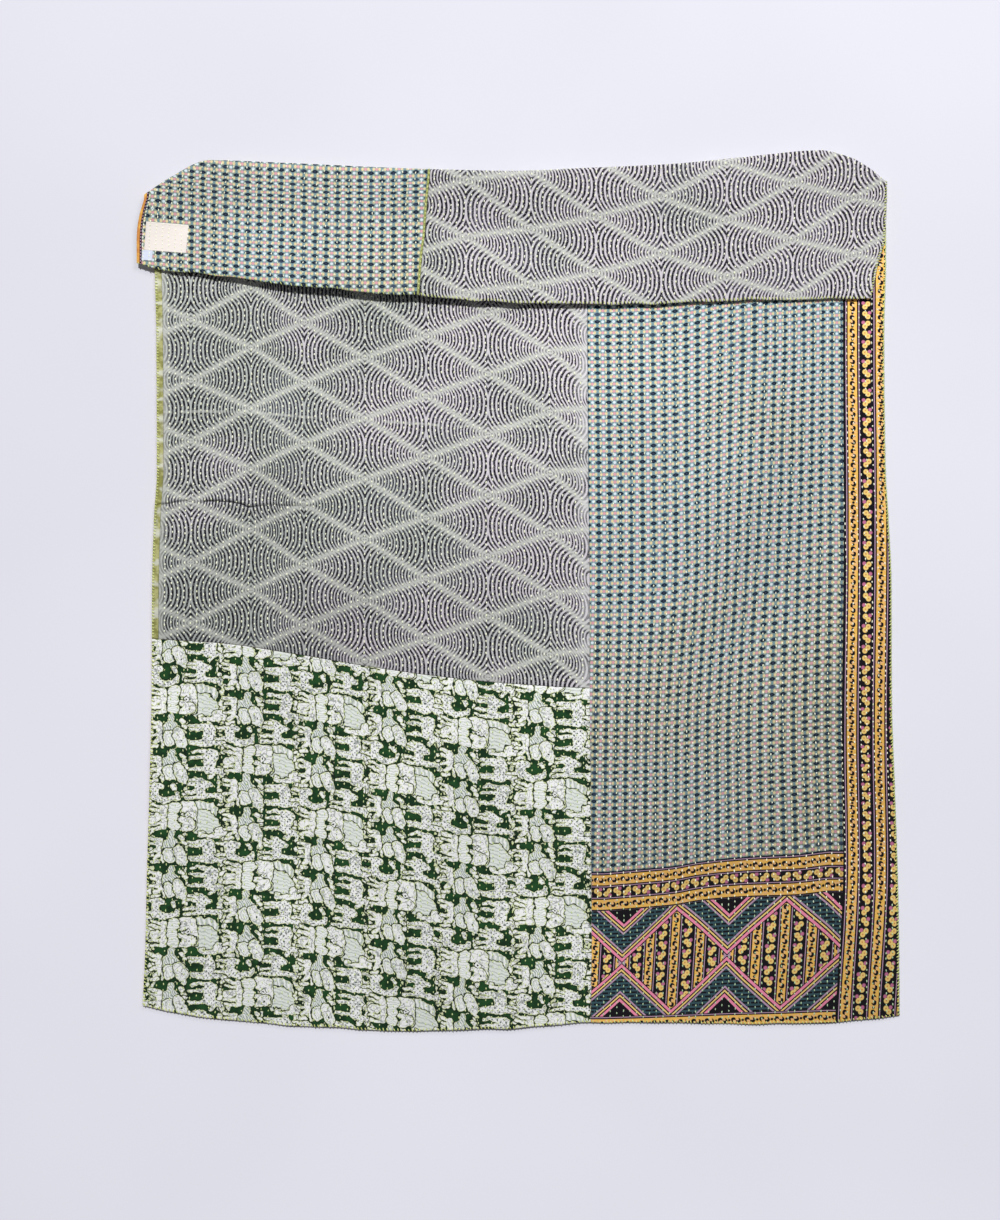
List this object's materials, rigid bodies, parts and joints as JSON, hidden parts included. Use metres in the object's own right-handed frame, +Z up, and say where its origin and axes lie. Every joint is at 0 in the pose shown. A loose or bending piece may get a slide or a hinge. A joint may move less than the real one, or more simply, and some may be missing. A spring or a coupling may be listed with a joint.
{
  "type": "kantha quilt",
  "caption": "Thin throw of joined printed cotton cloths, quilted through with running stitch, lying face up with its top edge folded over onto the front.",
  "frame": {"origin": "middle of the outline on the surface that the quilt lies on", "axes": "+Z up, +X to the right and +Y towards the folded top edge, seen from above with the front face up"},
  "size_m": [1.28, 1.477, 0.0264],
  "materials": {
    "scallop_print": "matt printed cotton, puckered by running stitch",
    "animal_print": "matt printed cotton, puckered by running stitch",
    "dot_print": "matt printed cotton with printed orange borders",
    "olive_cotton": "matt plain cotton",
    "label_tape": "smooth woven label cloth, bare",
    "care_tape": "smooth satin care label tape, bare",
    "quilting_thread": "soft pale cotton thread"
  },
  "bodies": {
    "root": {"front_scallop": "scallop_print", "front_animals": "animal_print", "front_dots": "dot_print", "edge_strip": "olive_cotton", "back_dots": "dot_print", "back_scallop": "scallop_print", "label": "label_tape", "care_label": "care_tape"}
  },
  "joints": []
}
